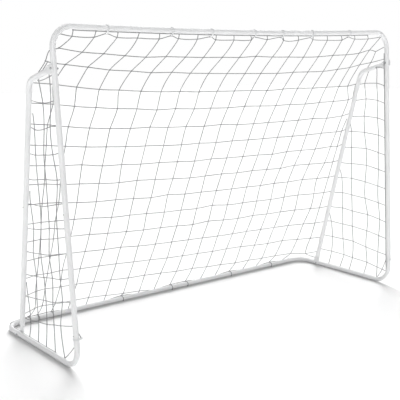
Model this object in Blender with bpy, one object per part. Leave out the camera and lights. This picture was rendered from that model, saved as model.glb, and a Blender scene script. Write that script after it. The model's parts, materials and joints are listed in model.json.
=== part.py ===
"""Soccer goal frame: a knock-down goal of plugged and bolted steel tubes, with its net.

Metres, +Z up, X along the crossbar, the mouth faces -Y. The origin is on the ground, under the
centre of the frame. Run with: blender --background --python part.py
"""

import math

import bmesh
import bpy
from mathutils import Matrix, Vector

# Driving dimensions
WIDTH = 2.133  # outside of one post to outside of the other
HEIGHT = 1.4715  # ground to the top of the crossbar, at its corners
DEPTH = 0.753  # foremost to rearmost point of the ground frame
TUBE_OD = 0.025
TUBE_WALL = 0.001
GAP = 0.0003  # clearance between pieces that touch
SIDES = 20  # facets round a tube, with one of them flat on the ground
BEND_RADIUS = 0.090
BEND_STEPS = 8
BRACE_BEND_STEPS = 5
LEAN = math.radians(4.46)  # posts lean back from the vertical
CROSSBAR_SAG = 0.015  # the bar hangs lower in the middle, from the play in its joints
SAG_STEPS = 8
BAR_STATIONS_X = (0.62, 0.77)  # where the corner's arm is bent a little to follow the sag

# Where the tubes are divided
CROSSBAR_JOINT_X = 0.470
POST_JOINT_Z = 0.665
POST_FOOT_JOINT_Z = 0.138
REAR_JOINT_X = 0.911
UPRIGHT_JOINT_Z = 0.640
PLUG_LENGTH = 0.050
PLUG_CHAMFER = 0.002
SWAGE_LENGTH = 0.007
HOLE_MARGIN = 0.009  # extra rings this far on each side of a hole keep its cut local

# The brace from each post back and down to the ground frame
BRACE_TOP_Z = 1.290
BRACE_BEND_Y = -0.073
BRACE_BEND_Z = 1.236
BRACE_BEND_RADIUS = 0.060
BRACE_FOOT_Y = 0.208

# Flattened and drilled tube ends
TAB_HALF_WIDTH = math.pi * TUBE_OD / 4  # the tube's girth, pressed flat
TAB_HALF_THICKNESS = 0.0012
TAB_LENGTH = 0.060  # round tube to the end of the tab
TAB_PRESSING = ((TAB_LENGTH, 0), (0.050, 0.35), (0.041, 0.8), (0.034, 1), (0.030, 1))
TAB_ROUNDING = ((1, 1), (0.45, 0.9), (0.12, 0.7), (0, 0.45))
TAB_BEYOND_BOLT = 0.014
FOOT_BEYOND_BOLT = 0.0085

# Fasteners
BOLT_R = 0.003
BOLT_HOLE_R = BOLT_R + GAP
BOLT_HEAD_R = 0.0063
BOLT_HEAD_H = 0.0035
NUT_FLATS = 0.010
NUT_H = 0.005
BOLT_TIP = 0.0015  # thread showing past the nut

# Snap buttons
BUTTON_R = 0.003
BUTTON_HOLE_R = BUTTON_R + GAP
BUTTON_PROUD = 0.0025
BUTTON_DOME = 0.0012
BUTTON_SETBACK = 0.028  # from the mouth of the socket
BUTTON_FLANGE_R = 0.0038
BUTTON_FLANGE_BOTTOM = 0.0079  # distance from the tube's axis
BUTTON_FLANGE_TOP = 0.0089
SPRING_WIDTH = 0.006
SPRING_THICKNESS = 0.0006
SPRING_PAD = 0.006  # half the flat under the button
SPRING_FOLD_AT = 0.036  # from the button to the middle of the fold
SPRING_FOLD_R = 0.0045
SPRING_FOOT = 0.0088  # distance of the lower leaf's end from the tube's axis

# Net clips and net
CROSSBAR_CLIP_X = (-0.79, -0.45, -0.22, 0.05, 0.24, 0.45, 0.74)
POST_CLIP_Z = 0.152
CLIP_THICKNESS = 0.002
CLIP_WIDTH = 0.008
CLIP_SHANK = 0.021
CLIP_HOOK_R = 0.004
CLIP_GRIP = (50, 290, 20)  # first, last and step, in degrees round the tube
CLIP_HOOK_TURN = (160, 32)  # degrees of the hook's curl, and its step
NET_THICKNESS = 0.001
NET_CLEARANCE = 0.004  # net panel to the nearest tube or bolt, and to the next panel
NET_FRONT_LOW_Z = 0.060
NET_FRONT_HIGH_Z = 1.339
NET_SIDE_BEND_DROP = 0.020

# Worked out from the above
TUBE_R = TUBE_OD / 2
TUBE_BORE_R = TUBE_R - TUBE_WALL
PLUG_R = TUBE_BORE_R - GAP
PLUG_BORE_R = PLUG_R - TUBE_WALL
GROUND_Z = TUBE_R * math.cos(math.pi / SIDES)  # axis height that lays a facet on the ground
HALF_WIDTH = WIDTH / 2 - TUBE_R
CROSSBAR_Z = HEIGHT - TUBE_R
REAR_Y = DEPTH / 2 - TUBE_R
POST_FOOT_Y = (
    -DEPTH / 2 + TUBE_R + BEND_RADIUS - BEND_RADIUS * math.tan(LEAN) - BEND_RADIUS / math.cos(LEAN)
)
BRACE_X = HALF_WIDTH + TUBE_R + GAP + TAB_HALF_THICKNESS
FOOT_X = HALF_WIDTH - TUBE_R - GAP - TAB_HALF_THICKNESS
CROSSBAR_Y = POST_FOOT_Y + (CROSSBAR_Z - GROUND_Z) * math.tan(LEAN)

X = Vector((1, 0, 0))
Y = Vector((0, 1, 0))
Z = Vector((0, 0, 1))


def post_point(side, z):
    """Point on a post's axis at height z. side is -1 for the left post and 1 for the right."""
    return Vector((side * HALF_WIDTH, POST_FOOT_Y + (z - GROUND_Z) * math.tan(LEAN), z))


def crossbar_point(x):
    """Point on the sagging crossbar's axis."""
    drop = CROSSBAR_SAG * (1 - (x / HALF_WIDTH) ** 2)
    return Vector((x, CROSSBAR_Y - drop * math.tan(LEAN), CROSSBAR_Z - drop))


# ---------------------------------------------------------------------------------------------
# Materials


def make_material(name, colour, roughness, metallic):
    material = bpy.data.materials.new(name)
    material.use_nodes = True
    shader = material.node_tree.nodes["Principled BSDF"]
    shader.inputs["Base Color"].default_value = (*colour, 1)
    shader.inputs["Roughness"].default_value = roughness
    shader.inputs["Metallic"].default_value = metallic
    material.diffuse_color = (*colour, 1)
    return material


# ---------------------------------------------------------------------------------------------
# Shapes


def finish_object(name, mesh, material):
    """A linked object whose round faces are smooth and whose corners are sharp."""
    mesh.validate()
    mesh.shade_smooth()
    mesh.set_sharp_from_angle(angle=math.radians(35))
    mesh.materials.append(material)
    obj = bpy.data.objects.new(name, mesh)
    bpy.context.scene.collection.objects.link(obj)
    return obj


def loft(name, rings, material, ring_of_rings=False):
    """Skin a list of equal rings of points into a closed solid, as a torus or with end caps."""
    bm = bmesh.new()
    rows = [[bm.verts.new(point) for point in ring] for ring in rings]
    pairs = list(zip(rows, rows[1:]))
    if ring_of_rings:
        pairs.append((rows[-1], rows[0]))
    else:
        bm.faces.new(rows[0])
        bm.faces.new(rows[-1])
    count = len(rings[0])
    for low, high in pairs:
        for i in range(count):
            j = (i + 1) % count
            bm.faces.new((low[i], low[j], high[j], high[i]))
    bmesh.ops.recalc_face_normals(bm, faces=bm.faces)
    mesh = bpy.data.meshes.new(name)
    bm.to_mesh(mesh)
    bm.free()
    return finish_object(name, mesh, material)


def round_corners(corners, radius, steps):
    """Replace each inner corner of a polyline by an arc of the given radius."""
    points = [corners[0]]
    for before, corner, after in zip(corners, corners[1:], corners[2:]):
        into = (corner - before).normalized()
        out = (after - corner).normalized()
        turn = into.angle(out)
        reach = radius * math.tan(turn / 2)
        axis = into.cross(out).normalized()
        start = corner - into * reach
        centre = start + axis.cross(into) * radius
        for step in range(steps + 1):
            spoke = Matrix.Rotation(turn * step / steps, 3, axis) @ (start - centre)
            points.append(centre + spoke)
    points.append(corners[-1])
    return points


def with_points_beside(path, places):
    """Add a path point on each side of every place, so that a hole there stays local."""
    result = list(path)
    for place in places:
        for offset in (-HOLE_MARGIN, HOLE_MARGIN):
            best = None
            for i, (a, b) in enumerate(zip(result, result[1:])):
                along = (b - a).normalized()
                distance = (place - a).dot(along) + offset
                inside = 0.002 < distance < (b - a).length - 0.002
                off_axis = (a + along * (distance - offset) - place).length
                if inside and off_axis < TUBE_R and (best is None or off_axis < best[0]):
                    best = (off_axis, i, a + along * distance)
            if best:
                result.insert(best[1] + 1, best[2])
    return result


def frames_along(path, normal):
    """The two cross directions at each path point, carried along without twist."""
    frames = []
    previous = None
    for i, point in enumerate(path):
        before = point - path[i - 1] if i else path[1] - point
        after = path[i + 1] - point if i + 1 < len(path) else before
        tangent = (before.normalized() + after.normalized()).normalized()
        if previous is not None:
            normal = previous.rotation_difference(tangent) @ normal
        normal = (normal - tangent * normal.dot(tangent)).normalized()
        frames.append((normal, tangent.cross(normal)))
        previous = tangent
    return frames


def section(centre, frame, across, along, squareness=2.0):
    """A ring of points: a circle, or flattened towards a rounded bar as squareness grows."""
    ring = []
    for i in range(SIDES):
        angle = 2 * math.pi * (i + 0.5) / SIDES
        c, s = math.cos(angle), math.sin(angle)
        power = 2 / squareness
        u = math.copysign(abs(c) ** power, c) * across
        v = math.copysign(abs(s) ** power, s) * along
        ring.append(centre + frame[0] * u + frame[1] * v)
    return ring


def plug_stations(mouth, direction):
    """Centres, outer and inner radii of a swaged end that enters a socket at its mouth."""
    table = (
        (-SWAGE_LENGTH, TUBE_R, TUBE_BORE_R),
        (-GAP, PLUG_R, PLUG_BORE_R),
        (BUTTON_SETBACK - HOLE_MARGIN, PLUG_R, PLUG_BORE_R),
        (BUTTON_SETBACK + HOLE_MARGIN, PLUG_R, PLUG_BORE_R),
        (PLUG_LENGTH - PLUG_CHAMFER, PLUG_R, PLUG_BORE_R),
        (PLUG_LENGTH, PLUG_R - PLUG_CHAMFER / 4, PLUG_BORE_R),
    )
    return [(mouth + direction * d, (o, o), (b, b), 2.0) for d, o, b in table]


def tab_stations(end, direction, beyond):
    """A tube end pressed flat: from the round tube to the rounded end of the tab."""
    stations = []
    for back, flatness in TAB_PRESSING:
        across = TUBE_R + (TAB_HALF_THICKNESS - TUBE_R) * flatness
        along = TUBE_R + (TAB_HALF_WIDTH - TUBE_R) * flatness
        outer = (across, along)
        inner = (across - TUBE_WALL, along - TUBE_WALL)
        stations.append((end - direction * back, outer, inner, 2 + 3 * flatness))
    for back, width in TAB_ROUNDING:
        outer = (TAB_HALF_THICKNESS, TAB_HALF_WIDTH * width)
        stations.append((end - direction * beyond * back, outer, None, 5.0))
    return stations


def tube(name, path, material, normal, start=None, end=None):
    """A hollow tube along a path. Each end is cut square, or formed by the stations given."""
    stations = [(p, (TUBE_R, TUBE_R), (TUBE_BORE_R, TUBE_BORE_R), 2.0) for p in path]
    if start:
        stations = list(reversed(start)) + stations[1:]
    if end:
        stations = stations[:-1] + list(end)
    frames = frames_along([s[0] for s in stations], normal)
    outer = [section(s[0], f, *s[1], s[3]) for s, f in zip(stations, frames)]
    inner = [section(s[0], f, *s[2], s[3]) for s, f in zip(stations, frames) if s[2]]
    closed_end = len(inner) < len(outer)
    if closed_end and stations[0][2] is None:
        outer.reverse()
        inner.reverse()
    rings = list(reversed(inner)) + outer
    return loft(name, rings, material, ring_of_rings=not closed_end)


def turned(name, profile, base, axis, material, sides=12):
    """A solid of revolution from (radius, height) pairs, with flat ends."""
    across = axis.orthogonal().normalized()
    other = axis.cross(across)
    rings = []
    for radius, height in profile:
        angles = [2 * math.pi * (i + 0.5) / sides for i in range(sides)]
        spokes = [across * math.cos(a) + other * math.sin(a) for a in angles]
        rings.append([base + axis * height + spoke * radius for spoke in spokes])
    return loft(name, rings, material)


def strip(name, centreline, width_axis, width, thickness, material):
    """A flat strip of constant thickness bent along a planar centreline."""
    rings = []
    for i, point in enumerate(centreline):
        before = centreline[max(i - 1, 0)]
        after = centreline[min(i + 1, len(centreline) - 1)]
        side = (after - before).normalized().cross(width_axis).normalized() * thickness / 2
        edge = width_axis * width / 2
        rings.append([point + side + edge, point - side + edge, point - side - edge, point + side - edge])
    return loft(name, rings, material)


def cutter(name, base, axis, length, radius):
    """A wire guide that drills a hole and is not a piece of the goal."""
    obj = turned(name, ((radius, 0), (radius, length)), base, axis, None)
    obj.hide_render = True
    obj.display_type = "WIRE"
    return obj


def drill(obj, cutter_object):
    """Take the cutter's hole out of a piece."""
    modifier = obj.modifiers.new(cutter_object.name, "BOOLEAN")
    modifier.operation = "DIFFERENCE"
    modifier.object = cutter_object


# ---------------------------------------------------------------------------------------------
# Pieces


def bolted_joint(name, head_x, far_x, place, material):
    """An M6 bolt across two pieces, with its nut. Returns the cutter for their holes."""
    outward = X * (1 if head_x > far_x else -1)
    head = Vector((head_x, place.y, place.z)) + outward * GAP
    grip = abs(head_x - far_x) + 2 * GAP
    length = grip + NUT_H + BOLT_TIP
    turned(
        f"bolt_{name}",
        (
            (0.0035, BOLT_HEAD_H),
            (0.0054, BOLT_HEAD_H * 0.75),
            (BOLT_HEAD_R, BOLT_HEAD_H * 0.3),
            (BOLT_HEAD_R, 0),
            (BOLT_R, 0),
            (BOLT_R, -length + 0.0008),
            (BOLT_R - 0.0006, -length),
        ),
        head,
        outward,
        material,
    )
    hexagon = []
    bore = []
    for i in range(12):
        angle = math.radians(30 * i)
        radius = NUT_FLATS / 2 / math.cos(math.radians(30 * (i % 2)))
        hexagon.append(Vector((0, radius * math.cos(angle), radius * math.sin(angle))))
        bore.append(Vector((0, BOLT_HOLE_R * math.cos(angle), BOLT_HOLE_R * math.sin(angle))))
    near = head - outward * grip
    far = near - outward * NUT_H
    rings = (
        [near + p for p in hexagon],
        [far + outward * 0.001 + p for p in hexagon],
        [far + p * 0.86 for p in hexagon],
        [far + p for p in bore],
        [near + p for p in bore],
    )
    loft(f"nut_{name}", rings, material, ring_of_rings=True)
    reach = length + 0.01
    return cutter(f"hole_{name}", head + outward * 0.002, -outward, reach, BOLT_HOLE_R)


def snap_button(name, mouth, into_socket, facing, steel, spring_steel):
    """A sprung button inside a plug. Returns the cutter for the plug's and the socket's holes."""
    facing = (facing - into_socket * facing.dot(into_socket)).normalized()
    seat = mouth + into_socket * BUTTON_SETBACK
    top = TUBE_R + BUTTON_PROUD
    button = turned(
        f"button_{name}",
        (
            (BUTTON_FLANGE_R, BUTTON_FLANGE_BOTTOM),
            (BUTTON_FLANGE_R, BUTTON_FLANGE_TOP),
            (BUTTON_R, BUTTON_FLANGE_TOP),
            (BUTTON_R, top - BUTTON_DOME),
            (BUTTON_R * 0.8, top - BUTTON_DOME / 3),
            (BUTTON_R * 0.4, top),
        ),
        Vector((0, 0, 0)),
        facing,
        steel,
    )
    button.location = seat
    leaf_top = BUTTON_FLANGE_BOTTOM - GAP - SPRING_THICKNESS / 2
    leaf = [(SPRING_PAD, leaf_top), (-SPRING_PAD, leaf_top)]
    for angle in map(math.radians, range(0, 181, 45)):
        leaf.append((-SPRING_FOLD_AT - SPRING_FOLD_R * math.sin(angle), SPRING_FOLD_R * math.cos(angle)))
    leaf.append((0, -SPRING_FOOT))
    centreline = [seat + into_socket * s + facing * r for s, r in leaf]
    width_axis = facing.cross(into_socket).normalized()
    strip(f"spring_{name}", centreline, width_axis, SPRING_WIDTH, SPRING_THICKNESS, spring_steel)
    return cutter(f"hole_{name}", seat + facing * BUTTON_FLANGE_BOTTOM, facing, TUBE_R, BUTTON_HOLE_R)


def net_clip(name, place, tube_axis, towards, plastic):
    """A clip that snaps round a tube and ends in a hook for the net's edge cord."""
    towards = (towards - tube_axis * towards.dot(tube_axis)).normalized()
    other = tube_axis.cross(towards)
    first, last, step = CLIP_GRIP
    radius = (TUBE_R + GAP + CLIP_THICKNESS / 2) / math.cos(math.radians(step / 2))
    grip = map(math.radians, range(first, last + 1, step))
    flat = [(radius * math.cos(angle), radius * math.sin(angle)) for angle in grip]
    start = math.radians(last)
    tip = (flat[-1][0] - CLIP_SHANK * math.sin(start), flat[-1][1] + CLIP_SHANK * math.cos(start))
    centre = (tip[0] - CLIP_HOOK_R * math.cos(start), tip[1] - CLIP_HOOK_R * math.sin(start))
    turn, step = CLIP_HOOK_TURN
    for degrees in range(0, turn + 1, step):
        angle = start + math.radians(degrees)
        flat.append((centre[0] + CLIP_HOOK_R * math.cos(angle), centre[1] + CLIP_HOOK_R * math.sin(angle)))
    centreline = [place + towards * u + other * v for u, v in flat]
    strip(name, centreline, tube_axis, CLIP_WIDTH, CLIP_THICKNESS, plastic)


def net_panel(name, corners, inward, material):
    """A thin flat panel that stands for one face of the net."""
    offset = inward.normalized() * NET_THICKNESS / 2
    loft(name, [[c + offset for c in corners], [c - offset for c in corners]], material)


def crossbar(paint):
    """The middle of the crossbar, swaged at both ends."""
    count = SAG_STEPS
    xs = [CROSSBAR_JOINT_X * (2 * i / count - 1) for i in range(count + 1)]
    path = [crossbar_point(x) for x in xs]
    right_end = (path[-1] - path[-2]).normalized()
    left_end = (path[0] - path[1]).normalized()
    start = plug_stations(path[0], left_end)
    end = plug_stations(path[-1], right_end)
    return tube("crossbar_middle", path, paint, Y, start, end)


def top_corner(side, name, paint, brace_bolt):
    """Upper post, bent over into the end of the crossbar. Both ends are sockets."""
    inner_leg = [crossbar_point(side * x) for x in (CROSSBAR_JOINT_X, *BAR_STATIONS_X)]
    corner = crossbar_point(side * HALF_WIDTH)
    lower_end = post_point(side, POST_JOINT_Z)
    path = inner_leg[:-1] + round_corners([inner_leg[-1], corner, lower_end], BEND_RADIUS, BEND_STEPS)
    along_bar = (inner_leg[0] - inner_leg[1]).normalized()
    along_post = (post_point(side, 1) - post_point(side, 0)).normalized()
    button_places = [inner_leg[0] - along_bar * BUTTON_SETBACK, lower_end + along_post * BUTTON_SETBACK]
    path = with_points_beside(path, [*button_places, brace_bolt])
    return tube(f"top_corner_{name}", path, paint, Y)


def post_lower(side, name, paint):
    """Lower post: a plug at the top and a socket at the foot."""
    top = post_point(side, POST_JOINT_Z)
    foot = post_point(side, POST_FOOT_JOINT_Z)
    up = (top - foot).normalized()
    path = with_points_beside([foot, top], [foot + up * BUTTON_SETBACK])
    return tube(f"post_lower_{name}", path, paint, Y, end=plug_stations(top, up))


def ground_side(side, name, paint, foot_bolt):
    """Side of the ground frame: post stub, bar and rear corner in one bent tube."""
    stub = post_point(side, POST_FOOT_JOINT_Z)
    front = post_point(side, GROUND_Z)
    rear = Vector((side * HALF_WIDTH, REAR_Y, GROUND_Z))
    rear_end = Vector((side * REAR_JOINT_X, REAR_Y, GROUND_Z))
    path = round_corners([stub, front, rear, rear_end], BEND_RADIUS, BEND_STEPS)
    up = (stub - front).normalized()
    inward = X * -side
    path = with_points_beside(path, [foot_bolt, rear_end - inward * BUTTON_SETBACK])
    return tube(f"ground_side_{name}", path, paint, X, start=plug_stations(stub, up))


def rear_bar(side, name, paint):
    """Half of the rear ground bar. The left half plugs into the right half at the centre."""
    outer = Vector((side * REAR_JOINT_X, REAR_Y, GROUND_Z))
    centre = Vector((0, REAR_Y, GROUND_Z))
    end = plug_stations(centre, X) if side < 0 else None
    path = [outer, centre]
    if side > 0:
        path = with_points_beside(path, [centre + X * BUTTON_SETBACK])
    return tube(f"rear_bar_{name}", path, paint, Y, start=plug_stations(outer, X * side), end=end)


def brace_corners(side):
    """The brace's tab end, bend, upright joint and foot tab end, and both bolt places."""
    top_bolt = post_point(side, BRACE_TOP_Z)
    top_bolt.x = side * BRACE_X
    bend = Vector((side * BRACE_X, BRACE_BEND_Y, BRACE_BEND_Z))
    foot_bolt = Vector((side * FOOT_X, BRACE_FOOT_Y, GROUND_Z))
    top_end = top_bolt + (top_bolt - bend).normalized() * TAB_BEYOND_BOLT
    down = (foot_bolt - bend) * Vector((0, 1, 1))
    down.normalize()
    foot_end = foot_bolt + down * FOOT_BEYOND_BOLT
    tab_start = foot_end - down * TAB_LENGTH
    share = (bend.z - UPRIGHT_JOINT_Z) / (bend.z - tab_start.z)
    joint = bend.lerp(tab_start, share)
    return top_end, bend, joint, tab_start, foot_end, top_bolt, foot_bolt


def brace(side, name, paint):
    """Brace: flattened at the post, bent down, and a socket for the upright."""
    top_end, bend, joint, tab_start, *_ = brace_corners(side)
    back = (top_end - bend).normalized()
    up = (joint - tab_start).normalized()
    path = round_corners([joint, bend, top_end], BRACE_BEND_RADIUS, BRACE_BEND_STEPS)
    path = with_points_beside(path, [joint + up * BUTTON_SETBACK])
    end = tab_stations(top_end, back, TAB_BEYOND_BOLT)
    return tube(f"brace_{name}", path, paint, X, end=end)


def upright(side, name, paint):
    """Rear upright: a plug at the top and a flattened foot bolted to the ground frame."""
    joint, tab_start, foot_end = brace_corners(side)[2:5]
    up = (joint - tab_start).normalized()
    down = (foot_end - tab_start).normalized()
    end = tab_stations(foot_end, down, FOOT_BEYOND_BOLT)
    path = [joint, foot_end]
    return tube(f"upright_{name}", path, paint, X, start=plug_stations(joint, up), end=end)


def net(fabric):
    """Four flat panels just inside the tubes: roof, back and two sides."""
    inset = TUBE_R + NET_THICKNESS / 2 + NET_CLEARANCE
    side_x = FOOT_X - TUBE_R - NET_CLEARANCE
    post_low = post_point(1, NET_FRONT_LOW_Z)
    post_high = post_point(1, NET_FRONT_HIGH_Z)
    top = Vector((0, CROSSBAR_Y + inset, CROSSBAR_Z - CROSSBAR_SAG))
    bend = Vector((0, BRACE_BEND_Y, BRACE_BEND_Z - inset))
    rear_low = Vector((0, REAR_Y, GROUND_Z))
    slope = (rear_low - bend).normalized()
    rear = rear_low - slope * inset * 1.6
    half = side_x - NET_CLEARANCE
    roof_slope = (bend - top).normalized()
    for name, a, b, normal in (
        ("net_roof", top, bend - roof_slope * NET_CLEARANCE / 2, X.cross(roof_slope)),
        ("net_back", bend + slope * NET_CLEARANCE, rear, X.cross(slope)),
    ):
        net_panel(name, [a - X * half, a + X * half, b + X * half, b - X * half], normal, fabric)
    outline = (
        Vector((0, post_low.y + inset, post_low.z)),
        Vector((0, post_high.y + inset, post_high.z)),
        bend - Z * NET_SIDE_BEND_DROP,
        rear,
        Vector((0, REAR_Y - BEND_RADIUS, GROUND_Z + inset)),
        Vector((0, POST_FOOT_Y + BEND_RADIUS, GROUND_Z + inset)),
    )
    for side, name in ((-1, "left"), (1, "right")):
        corners = [Vector((side * side_x, p.y, p.z)) for p in outline]
        net_panel(f"net_{name}", corners, X, fabric)


def main():
    for obj in list(bpy.data.objects):
        bpy.data.objects.remove(obj, do_unlink=True)

    paint = make_material("white_paint", (0.80, 0.80, 0.79), 0.38, 0.0)
    zinc = make_material("zinc_steel", (0.62, 0.62, 0.60), 0.34, 1.0)
    spring_steel = make_material("spring_steel", (0.45, 0.46, 0.48), 0.28, 1.0)
    plastic = make_material("white_plastic", (0.78, 0.78, 0.76), 0.45, 0.0)
    fabric = make_material("net_cord", (0.82, 0.82, 0.80), 0.85, 0.0)

    middle = crossbar(paint)
    corners = {}
    posts = {}
    grounds = {}
    rears = {}
    for side, name in ((-1, "left"), (1, "right")):
        top_bolt, foot_bolt = brace_corners(side)[5:7]
        corners[name] = top_corner(side, name, paint, top_bolt)
        posts[name] = post_lower(side, name, paint)
        grounds[name] = ground_side(side, name, paint, foot_bolt)
        rears[name] = rear_bar(side, name, paint)
        brace_tube = brace(side, name, paint)
        upright_tube = upright(side, name, paint)

        outer_face = side * (BRACE_X + TAB_HALF_THICKNESS)
        post_inner_face = side * (HALF_WIDTH - TUBE_R)
        hole = bolted_joint(f"brace_{name}", outer_face, post_inner_face, top_bolt, zinc)
        drill(brace_tube, hole)
        drill(corners[name], hole)

        inner_face = side * (FOOT_X - TAB_HALF_THICKNESS)
        bar_outer_face = side * (HALF_WIDTH + TUBE_R)
        hole = bolted_joint(f"foot_{name}", inner_face, bar_outer_face, foot_bolt, zinc)
        drill(upright_tube, hole)
        drill(grounds[name], hole)

        post_mouth = post_point(side, POST_JOINT_Z)
        foot_mouth = post_point(side, POST_FOOT_JOINT_Z)
        bar_end = crossbar_point(side * CROSSBAR_JOINT_X)
        bar_axis = (crossbar_point(side * BAR_STATIONS_X[0]) - bar_end).normalized()
        post_axis = (post_point(side, 1) - post_point(side, 0)).normalized()
        joint, tab_start = brace_corners(side)[2:4]
        upright_axis = (joint - tab_start).normalized()
        rear_end = Vector((side * REAR_JOINT_X, REAR_Y, GROUND_Z))
        outward = X * side
        for label, mouth, axis, facing, socket, plug in (
            (f"crossbar_{name}", bar_end, bar_axis, Y, corners[name], middle),
            (f"post_{name}", post_mouth, post_axis, outward, corners[name], posts[name]),
            (f"post_foot_{name}", foot_mouth, post_axis, outward, posts[name], grounds[name]),
            (f"rear_{name}", rear_end, outward, Z, grounds[name], rears[name]),
            (f"upright_{name}", joint, upright_axis, outward, brace_tube, upright_tube),
        ):
            hole = snap_button(label, mouth, axis, facing, zinc, spring_steel)
            drill(socket, hole)
            drill(plug, hole)

    centre = Vector((0, REAR_Y, GROUND_Z))
    hole = snap_button("rear_centre", centre, X, Z, zinc, spring_steel)
    drill(rears["right"], hole)
    drill(rears["left"], hole)

    for number, x in enumerate(CROSSBAR_CLIP_X, start=1):
        along = (crossbar_point(x + 0.01) - crossbar_point(x - 0.01)).normalized()
        net_clip(f"net_clip_crossbar_{number}", crossbar_point(x), along, Y * 0.5 - Z, plastic)
    for side, name in ((-1, "left"), (1, "right")):
        along = (post_point(side, 1) - post_point(side, 0)).normalized()
        net_clip(f"net_clip_post_{name}", post_point(side, POST_CLIP_Z), along, X * -side, plastic)
    net(fabric)


main()
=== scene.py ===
"""Looks of the soccer goal: painted steel tubes, zinc fasteners, plastic clips and a knotted cord net.

The net is tied as the real one is: one sheet for roof and back, one for each side, each of square
meshes knotted from thin twine and looped round the tubes. Its knots start on the surface that the
tubes span, and then settle under gravity and the tension of the twine.
"""

import json
import math

import bpy
import numpy as np
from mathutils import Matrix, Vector


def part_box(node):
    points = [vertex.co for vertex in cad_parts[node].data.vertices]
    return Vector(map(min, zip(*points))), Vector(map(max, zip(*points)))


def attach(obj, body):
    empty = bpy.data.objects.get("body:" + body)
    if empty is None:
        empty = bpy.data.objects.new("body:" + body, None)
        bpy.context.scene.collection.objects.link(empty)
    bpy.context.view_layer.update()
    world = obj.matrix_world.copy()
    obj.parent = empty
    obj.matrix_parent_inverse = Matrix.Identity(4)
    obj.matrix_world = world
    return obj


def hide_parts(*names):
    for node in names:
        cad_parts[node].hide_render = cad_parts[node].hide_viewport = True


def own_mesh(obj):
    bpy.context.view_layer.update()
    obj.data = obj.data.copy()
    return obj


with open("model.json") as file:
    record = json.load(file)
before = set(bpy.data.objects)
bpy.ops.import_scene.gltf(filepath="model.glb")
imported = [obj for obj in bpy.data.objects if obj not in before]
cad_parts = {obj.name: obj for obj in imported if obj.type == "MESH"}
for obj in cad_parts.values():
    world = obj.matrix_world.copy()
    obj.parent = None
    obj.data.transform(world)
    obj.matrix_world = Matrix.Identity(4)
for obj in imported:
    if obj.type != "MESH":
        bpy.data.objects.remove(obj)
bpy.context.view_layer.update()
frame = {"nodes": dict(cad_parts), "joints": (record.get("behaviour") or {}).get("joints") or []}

# The tubes that the net hangs on, in metres, as the CAD has them
TUBE_R = 0.0125
LEAN = math.radians(4.46)
CROSSBAR_Z = 1.459
CROSSBAR_SAG = 0.015
BRACE_TOP_Z = 1.290
BRACE_BEND_Y = -0.073
BRACE_BEND_Z = 1.236
BRACE_FOOT_Y = 0.208
CLIP_COUNT = 7
CLIP_THICKNESS = 0.002
CLIP_HOOK_R = 0.004

# Net twine
CORD_R = 0.0020
CORD_SIDES = 6
TOUCH = TUBE_R + CORD_R + 0.0003  # from a tube's axis to twine that lies on the tube
KNOT_LOOP_R = 0.0013
KNOT_TURN_R = 0.0010
KNOT_STEPS = 22
LOOP_STEPS = 24
KNOT_HOLD = 2.0  # how firmly a knot keeps its place in the stretched net, beside the twine's pull
KNOT_SCATTER = 0.002  # of the knots of roof and back
TWINE_SCATTER = 0.003  # of the spare length of a stretch of twine, as a share
CELL_PARTS = 3  # simulated stretches of twine between two knots
SHORTEST_CELL = 0.03  # a shorter stretch is simulated as one part

# Roof and back of the net. Columns run down it and are numbered from the left, rows across it
# from the crossbar. The net hangs askew: (row, x of column 0, column pitch) at a few rows.
COLUMNS = 20
LAST_ROW = 17  # on the rear bar
ASKEW = (
    (0, -0.950, 0.1087),
    (1, -0.950, 0.1100),
    (2, -0.985, 0.1142),
    (3, -1.048, 0.1190),
    (4, -1.0735, 0.1178),
    (5, -1.065, 0.1155),
    (6, -1.086, 0.1155),
    (8, -1.093, 0.1148),
    (10, -1.084, 0.1122),
    (12, -1.0985, 0.1135),
    (14, -1.121, 0.1130),
    (16, -1.150, 0.1128),
    (17, -1.150, 0.1134),
)
# The columns crowd near the left edge, below the roof, and near the right edge of the roof
LEFT_EDGE_X = -1.10
LEFT_EDGE_GAIN = 0.14  # down to the rear bar
LEFT_CROWDING = 0.02  # how wide the crowded strip is
LEFT_CROWDING_GAIN = 0.08
ROOF_EDGE_X = 1.075
ROOF_CROWDING = 0.11
SHORT_COLUMN_ROWS = (7, 15)  # of the last column, which runs beside the right upright
SHORT_COLUMN_INSET = 0.020
SHORT_COLUMN_SLANT = 0.004  # for each row
SHORT_COLUMN_RISE = 0.07
SHORT_COLUMN_END_Z = 0.045

FIRST_ROW_DROP = 0.036
ROOF_ROW_Z = 1.325
BEND_ROW_Z = 1.240
BACK_ROW_Z = 1.149  # the first row below the bend
SECOND_BACK_ROW_Z = 1.062
ROW_PITCH_Z = 0.0942
ROOF_SLOPE = 0.912  # run back for each metre down
BACK_SLOPE = 0.357
UPRIGHT_SLOPE = 0.230
UPRIGHT_REACH = 0.12  # how far from an upright the net is drawn forward to it
NET_BEHIND_BEND = -0.004

# How much higher a row is at an edge than in the middle, and how far in that reaches
ROOF_LIFT_LEFT = (0.06, 0.25)
ROOF_LIFT_RIGHT = (0.05, 0.15)
BACK_LIFT_LEFT = (0.088, 0.42)
BACK_LIFT_SPREAD = 0.025  # more reach for each row down
BACK_LIFT_RIGHT = (0.012, 0.15)
TILT = 0.050  # how much lower the last rows are at the right edge
TILT_FROM_ROW = 5
TILT_FROM_X = -0.6
TILT_POWER = 2.5
BEND_MARGIN = 0.012  # the highest place for twine on an upright, below its bend
LOWEST_KNOT_Z = 0.036  # a row that would come lower ends on the rear bar
LACING_RISE = 0.006  # from a row's last knot to where it is laced to the upright
REAR_TIES = (1, 2, 3, 7, 10, 11, 14, 17)  # columns that are looped round the rear bar

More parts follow.
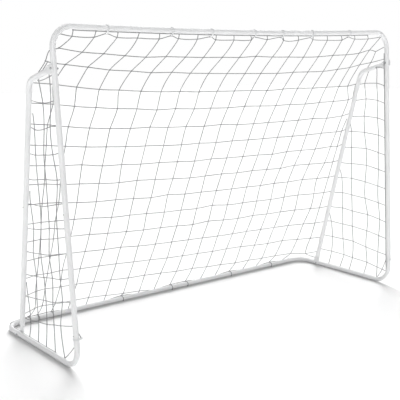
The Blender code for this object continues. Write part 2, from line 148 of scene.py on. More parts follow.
# Corners of the roof: where cords lie on the posts and braces, and free knots beside them.
# A knot is (how far inside the post's axis, y, z).
CORNER_TIE_INSET = 0.028
CORNER_TIE_DROP = 0.026
LEFT_WRAP_Z = (1.366, 1.359)  # behind the post, and outside it
LEFT_KNOTS = ((-0.016, -0.230, 1.314), (-0.002, -0.246, 1.319))
LEFT_OVER_BRACE_Y = (-0.205, -0.165)
RIGHT_WRAP_Z = (1.378, 1.312)
RIGHT_KNOTS = ((0.020, -0.205, 1.352), (0.004, -0.160, 1.290))
RIGHT_OVER_BRACE_Y = -0.125

# Sides of the net: number of rows, height and pitch of the rows on the post and on the upright
SIDE_ROWS = {-1: (10, 1.165, 0.1067, 1.148, 0.1175), 1: (12, 1.163, 0.0985, 1.163, 0.0958)}
SIDE_COLUMNS = {
    -1: (-0.222, -0.135, -0.047, 0.034, 0.124),
    1: (-0.268, -0.168, -0.050, 0.028, 0.124),
}
SIDE_LEAN = {-1: 0.0, 1: 0.09}  # of the columns, forward for each metre down
SIDE_LEAN_MIDDLE_Z = 0.5
SIDE_SLACK = {-1: 0.012, 1: 0.003}
SIDE_SCATTER = {-1: 0.0055, 1: 0.0035}
SIDE_SCATTER_XYZ = (0.5, 1.2, 0.6)
SIDE_RISE = {-1: -0.008, 1: 0.014}  # of the rows in the middle
SELVEDGE_TOP_Z = 1.344
BRACE_ROW_Y = -0.11  # where the row above the first one meets the brace
HOOK_RISE = 0.003
SAME_CORD = 0.045  # a column this near a cord that comes over the brace carries it on
LAST_TIE = 0.035  # from the upright's foot back to the last tie of the side bar
REAR_CORNER = 0.026  # from the rear bar's axis to the middle of its corner

FLOOR_Z = -0.0006
FLOOR_SIZE = 40

# Suns: name, direction of the light, strength, spread in degrees, and whether it lights the floor.
# The floor has a low one of its own, for the wide soft shadows, and the others skip it.
LIGHTS = (
    ("floor_light", (-0.60, -0.75, -0.33), 8.0, 40, "INCLUDE"),
    ("from_above", (-0.30, -0.35, -1.0), 1.1, 60, "EXCLUDE"),
    ("from_camera", (0.60, 0.75, -0.22), 0.95, 40, "EXCLUDE"),
    ("from_behind", (-0.60, -0.75, -0.22), 0.95, 40, "EXCLUDE"),
)

rng = np.random.default_rng(7)


def middle(node):
    low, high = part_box(node)
    return (low + high) / 2


HALF_WIDTH = middle("post_lower_right").x
REAR_Y = middle("rear_bar_right").y
GROUND_Z = middle("rear_bar_right").z
POST_FOOT_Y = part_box("post_lower_right")[0].y + TUBE_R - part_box("post_lower_right")[0].z * math.tan(LEAN)
BRACE_X = (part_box("brace_right")[0].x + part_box("brace_right")[1].x) / 2
FOOT_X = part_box("upright_right")[0].x + TUBE_R


# ---------------------------------------------------------------------------------------------
# Where the tubes run


def post_point(side, z):
    return np.array((side * HALF_WIDTH, POST_FOOT_Y + z * math.tan(LEAN), z))


def crossbar_point(x):
    drop = CROSSBAR_SAG * (1 - (x / HALF_WIDTH) ** 2)
    top = post_point(1, CROSSBAR_Z)
    return np.array((x, top[1] - drop * math.tan(LEAN), CROSSBAR_Z - drop))


def upright_point(side, z):
    share = (BRACE_BEND_Z - z) / (BRACE_BEND_Z - GROUND_Z)
    x = BRACE_X + (FOOT_X - BRACE_X) * share
    return np.array((side * x, BRACE_BEND_Y + (BRACE_FOOT_Y - BRACE_BEND_Y) * share, z))


def brace_point(side, y):
    top = post_point(side, BRACE_TOP_Z)
    share = (y - BRACE_BEND_Y) / (top[1] - BRACE_BEND_Y)
    return np.array((side * BRACE_X, y, BRACE_BEND_Z + (BRACE_TOP_Z - BRACE_BEND_Z) * share))


def unit(vector):
    return vector / np.linalg.norm(vector)


# ---------------------------------------------------------------------------------------------
# The net as knots, stretches of twine and loops round tubes


class Net:
    """Everything that settles together. A run is a string of node numbers along one cord."""

    def __init__(self):
        self.points = []
        self.fixed = []
        self.holds = []
        self.links = []
        self.bends = []
        self.sheets = {}
        for name in ("net_back", "net_side_left", "net_side_right"):
            self.sheets[name] = {"runs": [], "knots": {}, "loops": []}

    def node(self, point, fixed=False, hold=0.0):
        self.points.append(np.array(point, float))
        self.fixed.append(fixed)
        self.holds.append(hold)
        return len(self.points) - 1

    def touch(self, centre, axis, outward):
        """A fixed node where twine lies on a tube."""
        axis = unit(axis)
        outward = np.array(outward, float)
        return self.node(centre + unit(outward - axis * outward.dot(axis)) * TOUCH, fixed=True)

    def loop(self, name, centre, axis, outward):
        """A turn of twine round a tube, with its knot on the outward side."""
        axis = unit(axis)
        outward = np.array(outward, float)
        outward = unit(outward - axis * outward.dot(axis))
        number = self.node(centre + outward * (TOUCH + CORD_R + KNOT_LOOP_R), fixed=True)
        self.sheets[name]["loops"].append((centre, axis, outward))
        self.knot(name, number, axis, np.cross(axis, outward))
        return number

    def knot(self, name, number, across, up):
        self.sheets[name]["knots"][number] = (across, up)

    def run(self, name, ends, slack):
        """Twine through the given nodes. Slack is its spare length, as a share of the distance."""
        string = [ends[0]]
        for a, b in zip(ends, ends[1:]):
            start, end = self.points[a], self.points[b]
            length = np.linalg.norm(end - start)
            parts = CELL_PARTS if length > SHORTEST_CELL else 1
            rest = length * (1 + slack + rng.normal(0, TWINE_SCATTER)) / parts
            for part in range(1, parts):
                string.append(self.node(start + (end - start) * part / parts))
                self.links.append((string[-2], string[-1], rest))
            string.append(b)
            self.links.append((string[-2], string[-1], rest))
        self.bends += [string[i : i + 3] for i in range(len(string) - 2)]
        self.sheets[name]["runs"].append(string)


def settle(net, steps=2600):
    """Let the net hang: twine pulls but doesn't push, keeps a little of its straightness, has weight."""
    weight_per_metre = 1.5e-4  # over the twine's stretching stiffness
    straightness = 0.02
    points = np.array(net.points)
    home = points.copy()
    hold = np.array(net.holds)[:, None]
    free = ~np.array(net.fixed)
    a, b = np.array([link[:2] for link in net.links]).T
    rest = np.array([link[2] for link in net.links])
    before, at, after = np.array(net.bends).T
    count = len(points)

    def gathered(indices, values):
        return np.stack([np.bincount(indices, values[:, i], count) for i in range(3)], 1)

    stiffness = 1 / rest
    inertia = np.bincount(a, stiffness, count) + np.bincount(b, stiffness, count) + hold[:, 0]
    weight = (np.bincount(a, rest, count) + np.bincount(b, rest, count)) * weight_per_metre / 2
    speed = np.zeros_like(points)
    energy = 0.0
    for _ in range(steps):
        span = points[b] - points[a]
        length = np.linalg.norm(span, axis=1)
        pull = np.maximum(length - rest, 0) * stiffness / length
        force = gathered(a, span * pull[:, None]) - gathered(b, span * pull[:, None])
        bow = (points[before] + points[after]) / 2 - points[at]
        bow *= straightness
        force += gathered(at, bow) - gathered(before, bow) / 2 - gathered(after, bow) / 2
        force += (home - points) * hold
        force[:, 2] -= weight
        speed = (speed + force / inertia[:, None]) * free[:, None]
        now = float((speed**2 * inertia[:, None]).sum())
        if now < energy:
            speed[:] = 0
            now = 0.0
        energy = now
        points += speed
    return points


def lift(height_and_reach, distance):
    height, reach = height_and_reach
    return height * math.exp(-distance / reach)


def back_point(column, row):
    """Where a knot of the roof or back starts, before the net settles."""
    rows, first, pitch = zip(*ASKEW)
    x = np.interp(row, rows, first) + np.interp(row, rows, pitch) * column
    if column == COLUMNS - 1 and row >= SHORT_COLUMN_ROWS[0]:
        x = FOOT_X - SHORT_COLUMN_INSET - SHORT_COLUMN_SLANT * (row - SHORT_COLUMN_ROWS[0])
    down = row / LAST_ROW
    if row > 2:
        edge = LEFT_EDGE_X + LEFT_EDGE_GAIN * down
        width = LEFT_CROWDING + LEFT_CROWDING_GAIN * down
        x = edge + width * math.log1p(math.exp((x - edge) / width))
    if 2 <= row <= 4:
        x = ROOF_EDGE_X - ROOF_CROWDING * math.log1p(math.exp((ROOF_EDGE_X - x) / ROOF_CROWDING))
    if row == 1:
        return crossbar_point(x) + np.array((0, FIRST_ROW_DROP / 2, -FIRST_ROW_DROP))
    from_left = x + HALF_WIDTH
    from_right = HALF_WIDTH - x
    if row == 2:
        z = ROOF_ROW_Z + lift(ROOF_LIFT_LEFT, from_left) + lift(ROOF_LIFT_RIGHT, from_right)
    else:
        z = {3: BEND_ROW_Z, 4: BACK_ROW_Z}.get(row, SECOND_BACK_ROW_Z - ROW_PITCH_Z * (row - 5))
        height, reach = BACK_LIFT_LEFT
        z += lift((height, reach + BACK_LIFT_SPREAD * max(row - 4, 0)), from_left)
        z += lift(ROOF_LIFT_RIGHT if row == 3 else BACK_LIFT_RIGHT, from_right)
        z -= TILT * (max(row - TILT_FROM_ROW, 0) / 10) ** TILT_POWER * max(x - TILT_FROM_X, 0) / 1.35
    if z > BEND_ROW_Z:
        slope = ROOF_SLOPE
    else:
        near_upright = math.exp(-min(from_left, from_right) / UPRIGHT_REACH)
        slope = BACK_SLOPE + (UPRIGHT_SLOPE - BACK_SLOPE) * near_upright
    return np.array((x, BRACE_BEND_Y + NET_BEHIND_BEND + (BEND_ROW_Z - z) * slope, z))


def held_knot(net, column, row):
    """A free knot of roof or back, a little off its place."""
    return net.node(back_point(column, row) + rng.normal(0, KNOT_SCATTER, 3), hold=KNOT_HOLD)


def on_upright(net, side, z, outward):
    """A node where twine lies on an upright."""
    axis = upright_point(side, 1) - upright_point(side, 0.5)
    return net.touch(upright_point(side, min(z, BRACE_BEND_Z - BEND_MARGIN)), axis, outward)


def hang_roof(net, grid):
    """The first rows, their ends at the corners, and the cords that run on over the braces.

    Returns the nodes on each brace by their y.
    """
    name = "net_back"
    hooks = []
    for number in range(1, CLIP_COUNT + 1):
        low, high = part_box(f"net_clip_crossbar_{number}")
        y = high.y - CLIP_THICKNESS - CLIP_HOOK_R
        hooks.append(net.node(((low.x + high.x) / 2, y, low.z + CLIP_THICKNESS + CORD_R), fixed=True))
    along = np.array((1.0, 0, 0))
    head = []
    for column in range(COLUMNS - 2):
        bar = crossbar_point(ASKEW[0][1] + ASKEW[0][2] * column)
        grid[column, 0] = net.touch(bar, along, (0, 0.35, -1))
        head.append(grid[column, 0])
        net.knot(name, grid[column, 0], along, np.array((0, 1.0, 0.35)))
    net.run(name, head, 0.0)
    for row in (1, 2, 3):
        for column in range(1 if row == 3 else 0, COLUMNS - 2 if row == 1 else COLUMNS):
            grid[column, row] = held_knot(net, column, row)
    ends = {}
    for side in (-1, 1):
        corner = crossbar_point(side * (HALF_WIDTH - CORNER_TIE_INSET)) - np.array((0, 0, CORNER_TIE_DROP))
        ends[side] = net.touch(corner, (side, 0, -1), (0, 1, 0))
    grid[COLUMNS - 2, 1] = ends[1]
    row = [ends[-1]] + [grid[column, 1] for column in range(COLUMNS - 1)] + hooks
    net.run(name, sorted(row, key=lambda number: net.points[number][0]), 0.004)

    # Left: rows 2 and 3 pass behind the post, and column 0 runs on over the brace
    post_axis = post_point(-1, 1) - post_point(-1, 0)
    behind = net.touch(post_point(-1, LEFT_WRAP_Z[0]), post_axis, (0.2, 1, 0))
    outside = net.touch(post_point(-1, LEFT_WRAP_Z[1]), post_axis, (-1, 0.35, 0))
    outer, inner = (net.node((-HALF_WIDTH + inset, y, z)) for inset, y, z in LEFT_KNOTS)
    brace_axis = brace_point(-1, -0.1) - brace_point(-1, -0.2)
    over = {y: net.touch(brace_point(-1, y), brace_axis, (-0.6, 0, 1)) for y in LEFT_OVER_BRACE_Y}
    first_column = [grid[0, 0], grid[0, 1], grid[0, 2], behind, outside, outer]
    net.run(name, first_column + [over[LEFT_OVER_BRACE_Y[1]]], 0.002)
    net.run(name, [grid[column, 2] for column in range(COLUMNS)], 0.0)
    net.run(name, [inner, over[LEFT_OVER_BRACE_Y[0]]], 0.0)

    # Right: rows 2 and 3 end behind the post, and the last column runs on over the brace
    post_axis = post_point(1, 1) - post_point(1, 0)
    high, low = (net.touch(post_point(1, z), post_axis, (-0.5, 1, 0)) for z in RIGHT_WRAP_Z)
    last = COLUMNS - 1
    for row, (inset, y, z) in zip((2, 3), RIGHT_KNOTS):
        net.points[grid[last, row]] = np.array((HALF_WIDTH - inset, y, z))
    brace_axis = brace_point(1, -0.1) - brace_point(1, -0.2)
    over_right = net.touch(brace_point(1, RIGHT_OVER_BRACE_Y), brace_axis, (0.6, 0, 1))
    net.run(name, [grid[last, 2], high], 0.0)
    net.run(name, [grid[last, 2], grid[last, 3], over_right], 0.002)
    net.run(name, [outer, inner] + [grid[column, 3] for column in range(1, COLUMNS)] + [low], 0.0)
    for number in (outer, inner):
        net.knot(name, number, along, np.array((0, -1.0, 1)))
    return {-1: over, 1: {RIGHT_OVER_BRACE_Y: over_right}}


def hang_back(net):
    """Roof and back, down to the rear bar.

    Returns the rows' ends at each upright, the nodes on the braces, and the knots on the rear bar.
    """
    name = "net_back"
    along = np.array((1.0, 0, 0))
    grid = {}
    over = hang_roof(net, grid)
    laced = {-1: [], 1: []}
    inner = range(1, COLUMNS - 1)
    hem = []
    for column in inner:
        centre = np.array((back_point(column, LAST_ROW)[0], REAR_Y, GROUND_Z))
        if column in REAR_TIES:
            grid[column, LAST_ROW] = net.loop(name, centre, along, (0, 1, 0.9))
        else:
            grid[column, LAST_ROW] = net.touch(centre, along, (0, 1, 0.3))
            net.knot(name, grid[column, LAST_ROW], along, np.array((0, 0, 1.0)))
        hem.append(grid[column, LAST_ROW])
    net.run(name, hem, 0.006)
    for row in range(4, LAST_ROW):
        free = [column for column in inner if back_point(column, row)[2] > LOWEST_KNOT_Z]
        for column in free:
            grid[column, row] = held_knot(net, column, row)
        if SHORT_COLUMN_ROWS[0] <= row <= SHORT_COLUMN_ROWS[1]:
            beside = COLUMNS - 1
            grid[beside, row] = net.node(back_point(beside, row), hold=KNOT_HOLD)
            free.append(beside)
        line = [grid[column, row] for column in free]
        for side, column in ((-1, 1), (1, COLUMNS - 2)):
            if column in free:
                z = net.points[grid[column, row]][2] + LACING_RISE
                laced[side].append(on_upright(net, side, z, (0.3, 1, 0)))
                line.insert(0 if side < 0 else len(line), laced[side][-1])
            else:  # at the right, where the last rows meet the rear bar
                line.append(grid[free[-1] + 1, LAST_ROW])
        net.run(name, line, 0.0)
    for column in inner:
        net.run(name, [grid[column, row] for row in range(LAST_ROW + 1) if (column, row) in grid], 0.001)
    short = [grid[COLUMNS - 1, row] for row in range(SHORT_COLUMN_ROWS[0], SHORT_COLUMN_ROWS[1] + 1)]
    top = on_upright(net, 1, net.points[short[0]][2] + SHORT_COLUMN_RISE, (-0.3, 1, 0))
    bottom = on_upright(net, 1, SHORT_COLUMN_END_Z, (-0.3, 1, 0))
    net.run(name, [top] + short + [bottom], 0.0)
    for (column, row), number in grid.items():
        if 0 < row < LAST_ROW and (column, row - 1) in grid:
            net.knot(name, number, along, unit(net.points[grid[column, row - 1]] - net.points[number]))
    return laced, over, hem


def hang_side(net, side, name, laced, over, hem_end):
    """One side: rows from the post to the upright, and columns from the brace to the ground."""
    count, post_top, post_pitch, upright_top, upright_pitch = SIDE_ROWS[side]
    slack, scatter = SIDE_SLACK[side], SIDE_SCATTER[side]
    post_axis = post_point(side, 1) - post_point(side, 0)
    along_y = np.array((0, 1.0, 0))
    low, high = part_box("net_clip_post_right" if side > 0 else "net_clip_post_left")
    hook_x = (low.x if side > 0 else high.x) + side * (CLIP_THICKNESS + CLIP_HOOK_R)
    hook = net.node((hook_x, (low.y + high.y) / 2, (low.z + high.z) / 2 + HOOK_RISE), fixed=True)
    selvedge = [net.touch(post_point(side, SELVEDGE_TOP_Z), post_axis, (-0.4 * side, 1, 0))]
    crossings = {y: [] for y in SIDE_COLUMNS[side]}
    for row in range(-1, count):
        height = post_top - post_pitch * row
        start = net.touch(post_point(side, height), post_axis, (-0.4 * side, 1, 0))
        net.knot(name, start, along_y, unit(post_axis))
        selvedge.append(start)
        if row < 0:
            ends = [net.touch(brace_point(side, BRACE_ROW_Y), along_y, (1, 0, -0.6))]
        else:
            z = upright_top - upright_pitch * row
            ends = [on_upright(net, side, z, (1, 0, 0)), on_upright(net, side, z, (0.5, 1, 0))]
            laced[side].append(ends[-1])
        a, b = net.points[start], net.points[ends[0]]
        line = [start]
        for y in SIDE_COLUMNS[side]:
            leaning_y = y + SIDE_LEAN[side] * (a[2] - SIDE_LEAN_MIDDLE_Z)
            share = (leaning_y - a[1]) / (b[1] - a[1])
            if share > 0.1 and leaning_y < b[1] - 0.016:
                spot = a + (b - a) * share + rng.normal(0, scatter, 3) * SIDE_SCATTER_XYZ
                spot[2] += 4 * SIDE_RISE[side] * share * (1 - share)
                knot = net.node(spot, hold=KNOT_HOLD)
                net.knot(name, knot, along_y, unit(post_axis))
                crossings[y].append(knot)
                line.append(knot)
        net.run(name, line + ends, slack)
    net.run(name, selvedge + [hook], 0.0)
    net.run(name, sorted(laced[side], key=lambda number: -net.points[number][2]), 0.0)
    bottom = [hook]
    for y in SIDE_COLUMNS[side]:
        highest = net.points[crossings[y][0]]
        if highest[1] < BRACE_BEND_Y and len(crossings[y]) >= count:
            axis = brace_point(side, highest[1] - 0.1) - brace_point(side, highest[1])
            nearest = min(over[side], key=lambda place: abs(place - highest[1]))
            top_y = nearest if abs(nearest - highest[1]) < SAME_CORD else highest[1]
            first = [net.touch(brace_point(side, top_y), axis, (1, 0, -0.3))]
            if top_y == nearest:
                first.insert(0, over[side][nearest])
        else:
            gap = upright_point(side, highest[2])[1] - highest[1]
            rise = min(0.6 * upright_pitch, 0.9 * gap / UPRIGHT_SLOPE)
            first = [on_upright(net, side, highest[2] + rise, (1, 0, 0))]
        end = net.touch(np.array((side * HALF_WIDTH, y, GROUND_Z)), along_y, (1, 0, 0.3))
        net.knot(name, end, along_y, np.array((0, 0, 1.0)))
        bottom.append(end)
        net.run(name, first + crossings[y] + [end], slack)
    last_tie = np.array((side * HALF_WIDTH, BRACE_FOOT_Y + LAST_TIE, GROUND_Z))
    foot = net.touch(last_tie, along_y, (1, 0, 0.3))
    corner = np.array((side * (HALF_WIDTH - REAR_CORNER), REAR_Y - REAR_CORNER, GROUND_Z))
    rear = net.touch(corner, (side, -1, 0), (side * 0.7, 0.7, 1))
    net.run(name, bottom + [foot, rear, hem_end], 0.004)


def hang_net():
    """The whole net, as nodes and cords, before it settles."""
    net = Net()
    laced, over, hem = hang_back(net)
    hang_side(net, -1, "net_side_left", laced, over, hem[0])
    hang_side(net, 1, "net_side_right", laced, over, hem[-1])
    return net


# ---------------------------------------------------------------------------------------------
# Twine as mesh


def smooth_path(points, parts=2):
    """More points along the curve through the given ones."""
    padded = np.vstack((2 * points[0] - points[1], points, 2 * points[-1] - points[-2]))
    t = np.arange(parts)[:, None] / parts
    pieces = []
    for i in range(len(points) - 1):
        p0, p1, p2, p3 = padded[i : i + 4]
        square = p0 - 2.5 * p1 + 2 * p2 - p3 / 2
        cube = 1.5 * (p1 - p2) + (p3 - p0) / 2
        pieces.append(p1 + t * (p2 - p0) / 2 + t**2 * square + t**3 * cube)
    return np.vstack((*pieces, points[-1:]))


def sweep(path, radius, sides, closed=False):
    """Vertices, faces and corner UVs of a cord along a path. UVs are in metres along and turns round."""
    if closed:
        tangents = np.roll(path, -1, 0) - np.roll(path, 1, 0)
    else:
        tangents = np.gradient(path, axis=0)
    tangents /= np.linalg.norm(tangents, axis=1)[:, None]
    normal = np.cross(tangents[0], (0.31, 0.52, 0.79))
    angles = 2 * math.pi * np.arange(sides) / sides
    rings = []
    for point, tangent in zip(path, tangents):
        normal = unit(normal - tangent * normal.dot(tangent))
        other = np.cross(tangent, normal)
        rings.append(point + radius * (np.outer(np.cos(angles), normal) + np.outer(np.sin(angles), other)))
    count = len(path)
    steps = np.linalg.norm(np.diff(path, axis=0), axis=1)
    along = np.concatenate(((0,), np.cumsum(steps), (steps.sum() + steps[-1],)))
    last = count if closed else count - 1
    i, j = np.meshgrid(np.arange(last), np.arange(sides), indexing="ij")
    i, j = i.ravel(), j.ravel()
    i_next, j_next = (i + 1) % count, (j + 1) % sides
    faces = np.stack((i * sides + j, i * sides + j_next, i_next * sides + j_next, i_next * sides + j), 1)
    u0, u1 = j / sides, (j + 1) / sides
    v0, v1 = along[i], along[i + 1]
    uvs = np.stack((u0, v0, u1, v0, u1, v1, u0, v1), 1).reshape(-1, 4, 2)
    return np.vstack(rings), faces, uvs


def knot_shape():
    """A tight knot of twine round the origin, lying in the XY plane."""
    t = 2 * math.pi * np.arange(KNOT_STEPS) / KNOT_STEPS
    reach = KNOT_LOOP_R + KNOT_TURN_R * np.cos(3 * t)
    path = np.stack((reach * np.cos(2 * t), reach * np.sin(2 * t), 1.15 * KNOT_TURN_R * np.sin(3 * t)), 1)
    return sweep(path, CORD_R * 0.95, CORD_SIDES, closed=True)


def loop_path(centre, axis, facing):
    """One turn of twine round a tube, whose two ends meet side by side at the knot."""
    other = np.cross(axis, facing)
    turn = np.linspace(0, 2 * math.pi, LOOP_STEPS + 1)[:, None]
    reach = TOUCH
    lift = np.clip(1 - np.minimum(turn, 2 * math.pi - turn) / 0.5, 0, 1) * (2 * CORD_R)
    shift = (turn / math.pi - 1) * CORD_R * 1.1
    return centre + (reach + lift) * (np.cos(turn) * facing + np.sin(turn) * other) + axis * shift


def make_mesh(name, parts, material):
    """One object from swept parts, each a tuple of vertices, faces and corner UVs."""
    offset = 0
    vertices, faces, uvs = [], [], []
    for part in parts:
        vertices.append(part[0])
        faces.append(part[1] + offset)
        uvs.append(part[2])
        offset += len(part[0])
    vertices, faces, uvs = np.vstack(vertices), np.vstack(faces), np.concatenate(uvs)
    mesh = bpy.data.meshes.new(name)
    mesh.from_pydata(vertices.tolist(), [], faces.tolist())
    layer = mesh.uv_layers.new(name="twine")
    layer.data.foreach_set("uv", uvs.reshape(-1).astype(np.float32))
    mesh.shade_smooth()
    mesh.materials.append(material)
    obj = bpy.data.objects.new(name, mesh)
    bpy.context.scene.collection.objects.link(obj)
    return obj


def cord_parts(sheet, points):
    """Swept parts for every run, loop and knot of one sheet."""
    knot_vertices, knot_faces, knot_uvs = knot_shape()
    parts = []
    for string in sheet["runs"]:
        parts.append(sweep(smooth_path(points[string]), CORD_R, CORD_SIDES))
    for loop in sheet["loops"]:
        parts.append(sweep(loop_path(*loop), CORD_R, CORD_SIDES))
    for number, (across, up) in sheet["knots"].items():
        across = unit(across)
        normal = unit(np.cross(across, up))
        up = np.cross(normal, across)
        turn = rng.uniform(0, 2 * math.pi)
        first = across * math.cos(turn) + up * math.sin(turn)
        second = np.cross(normal, first)
        size = rng.uniform(0.92, 1.12)
        placed = points[number] + size * knot_vertices @ np.stack((first, second, normal))
        parts.append((placed, knot_faces, knot_uvs))
    return parts


# ---------------------------------------------------------------------------------------------
# Materials


def new_material(name, colour, roughness, metallic=0.0):
    material = bpy.data.materials.new(name)
    material.use_nodes = True
    nodes = material.node_tree.nodes
    shader = nodes["Principled BSDF"]
    shader.inputs["Base Color"].default_value = (*colour, 1)
    shader.inputs["Roughness"].default_value = roughness
    shader.inputs["Metallic"].default_value = metallic
    return material, nodes, material.node_tree.links, shader


def noise(nodes, links, scale, detail=3.0, roughness=0.5):
    source = nodes.new("ShaderNodeTexCoord")
    texture = nodes.new("ShaderNodeTexNoise")
    texture.inputs["Scale"].default_value = scale
    texture.inputs["Detail"].default_value = detail
    texture.inputs["Roughness"].default_value = roughness
    links.new(source.outputs["Object"], texture.inputs["Vector"])
    return texture.outputs["Fac"]


def ramp(nodes, links, value, stops):
    """Map a value to colours. Stops are (position, colour) pairs."""
    node = nodes.new("ShaderNodeValToRGB")
    while len(node.color_ramp.elements) < len(stops):
        node.color_ramp.elements.new(0.5)
    for element, (position, colour) in zip(node.color_ramp.elements, stops):
        element.position = position
        element.color = (*colour, 1)
    links.new(value, node.inputs["Fac"])
    return node.outputs["Color"]


def spread(nodes, links, value, low, high):
    """Map a 0 to 1 value onto low to high."""
    node = nodes.new("ShaderNodeMapRange")
    node.inputs["From Min"].default_value = 0.3
    node.inputs["From Max"].default_value = 0.7
    node.inputs["To Min"].default_value = low
    node.inputs["To Max"].default_value = high
    links.new(value, node.inputs["Value"])
    return node.outputs["Result"]


def bump(nodes, links, shader, height, distance):
    node = nodes.new("ShaderNodeBump")
    node.inputs["Distance"].default_value = distance
    node.inputs["Strength"].default_value = 1.0
    links.new(height, node.inputs["Height"])
    links.new(node.outputs["Normal"], shader.inputs["Normal"])


def multiply(nodes, links, first, second, amount=1.0):
    node = nodes.new("ShaderNodeMix")
    node.data_type = "RGBA"
    node.blend_type = "MULTIPLY"
    node.inputs["Factor"].default_value = amount
    links.new(first, node.inputs[6])
    links.new(second, node.inputs[7])
    return node.outputs[2]


def powder_coat():
    """White powder coat: faint orange peel, slight cloudiness, a few scuffs."""
    material, nodes, links, shader = new_material("powder_coat", (0.7, 0.7, 0.7), 0.36)
    shader.inputs["Coat Weight"].default_value = 0.25
    shader.inputs["Coat Roughness"].default_value = 0.22
    cloud = noise(nodes, links, 6.0, 4.0)
    base = ramp(nodes, links, cloud, ((0.3, (0.78, 0.785, 0.79)), (0.7, (0.84, 0.845, 0.85))))
    scuff = noise(nodes, links, 55.0, 6.0, roughness=0.7)
    worn = ramp(nodes, links, scuff, ((0.27, (0.62, 0.60, 0.57)), (0.33, (1, 1, 1))))
    links.new(multiply(nodes, links, base, worn, 0.55), shader.inputs["Base Color"])
    links.new(spread(nodes, links, noise(nodes, links, 30.0), 0.30, 0.46), shader.inputs["Roughness"])
    bump(nodes, links, shader, noise(nodes, links, 900.0, 2.0), 0.00006)
    return material


def plated_steel(name, colour, roughness, grain):
    """Zinc plate or bare spring steel with fine uneven gloss."""
    material, nodes, links, shader = new_material(name, colour, roughness, 1.0)
    patch = noise(nodes, links, grain, 5.0)
    darker = tuple(channel * 0.72 for channel in colour)
    links.new(ramp(nodes, links, patch, ((0.3, darker), (0.65, colour))), shader.inputs["Base Color"])
    finish = spread(nodes, links, noise(nodes, links, grain * 3), roughness - 0.08, roughness + 0.12)
    links.new(finish, shader.inputs["Roughness"])
    bump(nodes, links, shader, noise(nodes, links, grain * 6, 3.0), 0.00004)
    return material


def moulded_plastic():
    """White nylon of the net clips."""
    material, nodes, links, shader = new_material("clip_nylon", (0.6, 0.6, 0.58), 0.42)
    shader.inputs["Subsurface Weight"].default_value = 0.12
    shader.inputs["Subsurface Radius"].default_value = (0.002, 0.002, 0.0018)
    tone = noise(nodes, links, 90.0, 3.0)
    shades = ((0.3, (0.68, 0.69, 0.70)), (0.7, (0.76, 0.765, 0.77)))
    links.new(ramp(nodes, links, tone, shades), shader.inputs["Base Color"])
    links.new(spread(nodes, links, noise(nodes, links, 300.0), 0.36, 0.52), shader.inputs["Roughness"])
    bump(nodes, links, shader, noise(nodes, links, 1400.0, 2.0), 0.00005)
    return material


def twine():
    """Three-ply twine: plies wind round the cord, with fine fibres and greyer patches. Its grey is partly
    its own colour and partly painted shade, and the grooves between the plies hold painted shade.
    """
    material, nodes, links, shader = new_material("net_twine", (0.5, 0.5, 0.5), 0.8)
    shader.inputs["Sheen Weight"].default_value = 0.25
    shader.inputs["Sheen Roughness"].default_value = 0.6
    source = nodes.new("ShaderNodeUVMap")
    source.uv_map = "twine"
    slant = nodes.new("ShaderNodeMapping")
    slant.inputs["Scale"].default_value = (3.0, 420.0, 1.0)
    links.new(source.outputs["UV"], slant.inputs["Vector"])
    plies = nodes.new("ShaderNodeTexWave")
    plies.wave_type = "BANDS"
    plies.bands_direction = "DIAGONAL"
    plies.inputs["Scale"].default_value = 0.314
    plies.inputs["Distortion"].default_value = 0.6
    links.new(slant.outputs["Vector"], plies.inputs["Vector"])
    # Painted shade: the twine's grey is set darker than its own colour, for the shade the net hangs in; the
    # patches vary at random
    shaded_twine_greys = ((0.3, (0.25, 0.255, 0.26)), (0.7, (0.35, 0.355, 0.36)))
    patch = ramp(nodes, links, noise(nodes, links, 25.0), shaded_twine_greys)
    # Painted shade: the grooves between the plies are darker in colour
    groove_shade = ramp(nodes, links, plies.outputs["Fac"], ((0.0, (0.72, 0.72, 0.72)), (0.5, (1, 1, 1))))
    links.new(multiply(nodes, links, patch, groove_shade, 0.8), shader.inputs["Base Color"])
    links.new(spread(nodes, links, noise(nodes, links, 600.0), 0.7, 0.9), shader.inputs["Roughness"])
    bump(nodes, links, shader, plies.outputs["Fac"], 0.0003)
    return material


# ---------------------------------------------------------------------------------------------
# Pieces


def paint_cad_nodes():
    """Give each CAD node that stays the finish of its slot."""
    finishes = {
        "white_paint": powder_coat(),
        "zinc_steel": plated_steel("zinc_plate", (0.62, 0.63, 0.64), 0.30, 140.0),
        "button_steel": plated_steel("button_steel", (0.66, 0.66, 0.65), 0.24, 220.0),
        "spring_steel": plated_steel("spring_steel_blue", (0.40, 0.42, 0.46), 0.26, 180.0),
        "white_plastic": moulded_plastic(),
    }
    for name, obj in frame["nodes"].items():
        slot_name = obj.data.materials[0].name if obj.data.materials else ""
        for place in obj.material_slots:
            for key, finish in finishes.items():
                if slot_name.startswith(key):
                    place.material = finish
    return finishes


def make_net():
    net = hang_net()
    points = settle(net)
    cord = twine()
    stands_for = {
        "net_back": ("net_roof", "net_back"),
        "net_side_left": ("net_left",),
        "net_side_right": ("net_right",),
    }
    for name, sheet in net.sheets.items():
        piece = make_mesh(f"knotted_{name}", cord_parts(sheet, points), cord)
        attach(piece, "frame")
        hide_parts(*stands_for[name])


def leaf_spring(label, steel):
    """The V of spring steel behind a snap button."""
    old = frame["nodes"][f"spring_{label}"]
    piece = bpy.data.objects.new(f"leaf_spring_{label}", old.data.copy())
    bpy.context.scene.collection.objects.link(piece)
    piece.data.materials.clear()
    piece.data.materials.append(steel)
    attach(piece, "frame")
    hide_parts(old.name)
    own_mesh(piece)


# ---------------------------------------------------------------------------------------------
# Studio


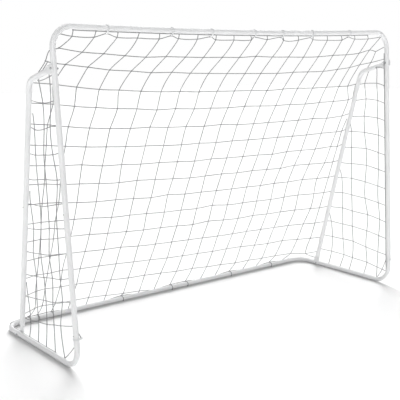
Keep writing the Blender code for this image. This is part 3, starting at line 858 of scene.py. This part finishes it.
def make_floor():
    bpy.ops.mesh.primitive_plane_add(size=FLOOR_SIZE, location=(0, 0, FLOOR_Z))
    floor = bpy.context.object
    floor.name = "floor"
    material, nodes, links, shader = new_material("floor_white", (0.9, 0.9, 0.9), 0.9)
    shader.inputs["Specular IOR Level"].default_value = 0.0
    whites = ((0.3, (0.90, 0.90, 0.90)), (0.7, (0.92, 0.92, 0.92)))
    tone = ramp(nodes, links, noise(nodes, links, 2.0), whites)
    links.new(tone, shader.inputs["Base Color"])
    floor.data.materials.append(material)
    return floor


def make_world():
    """White behind the goal. The light it gives is brighter from above than from the sides."""
    world = bpy.data.worlds.new("studio")
    bpy.context.scene.world = world
    world.use_nodes = True
    nodes, links = world.node_tree.nodes, world.node_tree.links
    background = nodes["Background"]
    source = nodes.new("ShaderNodeTexCoord")
    split = nodes.new("ShaderNodeSeparateXYZ")
    links.new(source.outputs["Generated"], split.inputs["Vector"])
    light = ramp(nodes, links, split.outputs["Z"], ((0.0, (0.32, 0.32, 0.32)), (0.9, (0.46, 0.46, 0.46))))
    links.new(light, background.inputs["Color"])
    seen = nodes.new("ShaderNodeBackground")
    seen.inputs["Color"].default_value = (1, 1, 1, 1)
    path = nodes.new("ShaderNodeLightPath")
    mix = nodes.new("ShaderNodeMixShader")
    links.new(path.outputs["Is Camera Ray"], mix.inputs["Fac"])
    links.new(background.outputs["Background"], mix.inputs[1])
    links.new(seen.outputs["Background"], mix.inputs[2])
    links.new(mix.outputs["Shader"], nodes["World Output"].inputs["Surface"])


def make_light(name, towards, strength, spread_degrees, floor_state, floor):
    light = bpy.data.lights.new(name, "SUN")
    light.energy = strength
    light.angle = math.radians(spread_degrees)
    obj = bpy.data.objects.new(name, light)
    obj.rotation_euler = Vector(towards).to_track_quat("-Z", "Y").to_euler()
    bpy.context.scene.collection.objects.link(obj)
    receivers = bpy.data.collections.new(name + "_receivers")
    receivers.objects.link(floor)
    receivers.collection_objects[0].light_linking.link_state = floor_state
    obj.light_linking.receiver_collection = receivers


def make_camera():
    camera = bpy.data.cameras.new("camera")
    camera.sensor_width = 36
    camera.lens = 70.77
    camera.shift_x = -0.0208
    camera.shift_y = 0.102
    obj = bpy.data.objects.new("camera", camera)
    obj.location = (-2.618, -3.200, 1.366)
    obj.rotation_euler = (math.radians(90 - 13.7), 0, math.radians(-38.95))
    bpy.context.scene.collection.objects.link(obj)
    bpy.context.scene.camera = obj


make_camera()
make_world()
studio_floor = make_floor()
for light_facts in LIGHTS:
    make_light(*light_facts, studio_floor)
bpy.context.scene.view_settings.view_transform = "Standard"

finishes = paint_cad_nodes()
make_net()
for joint in frame["joints"]:
    leaf_spring(joint["name"].removeprefix("press_"), finishes["spring_steel"])
